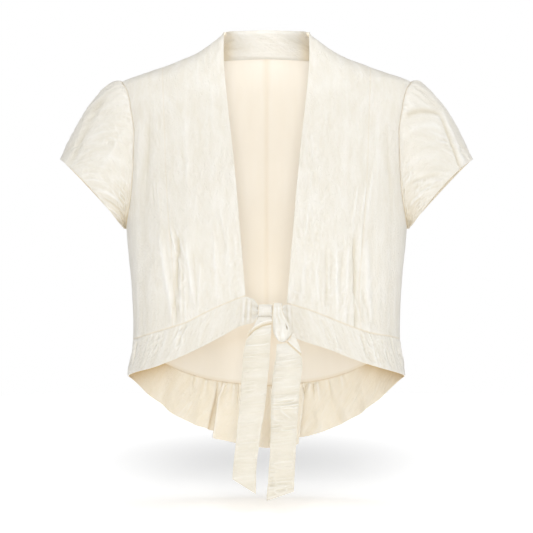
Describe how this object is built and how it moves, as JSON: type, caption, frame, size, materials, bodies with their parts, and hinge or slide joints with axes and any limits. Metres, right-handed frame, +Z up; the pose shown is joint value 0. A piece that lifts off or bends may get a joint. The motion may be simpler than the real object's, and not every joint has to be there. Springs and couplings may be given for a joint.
{
  "type": "cropped short-sleeve tie-front jacket",
  "caption": "Cropped open-front jacket as worn, with short gathered sleeves, a shaped hem band knotted at the centre front, hanging tie ends and a gathered back peplum.",
  "frame": {"origin": "on the shoulder line, above the middle of the body, where the wearer's shoulders hold it up", "axes": "+Z up, the front faces -Y, +X to the wearer's left"},
  "size_m": [0.5576, 0.2945, 0.6257],
  "materials": {
    "crinkle_satin": "ivory crinkled satin with a soft sheen",
    "lining_satin": "smooth cream lining satin"
  },
  "bodies": {
    "root": {"front_centre_right": "crinkle_satin", "front_centre_left": "crinkle_satin", "front_side_right": "crinkle_satin", "front_side_left": "crinkle_satin", "front_band_right": "crinkle_satin", "front_band_left": "crinkle_satin", "back_right": "crinkle_satin", "back_left": "crinkle_satin", "back_lining_right": "lining_satin", "back_lining_left": "lining_satin", "back_neck_facing": "crinkle_satin", "sleeve_right": "crinkle_satin", "sleeve_left": "crinkle_satin", "peplum": "crinkle_satin", "knot_wrap_right": "crinkle_satin", "knot_wrap_left": "crinkle_satin", "knot_loop": "crinkle_satin", "tie_neck_right": "crinkle_satin", "tie_neck_left": "crinkle_satin", "tie_tail_right": "crinkle_satin", "tie_tail_left": "crinkle_satin"}
  },
  "joints": []
}
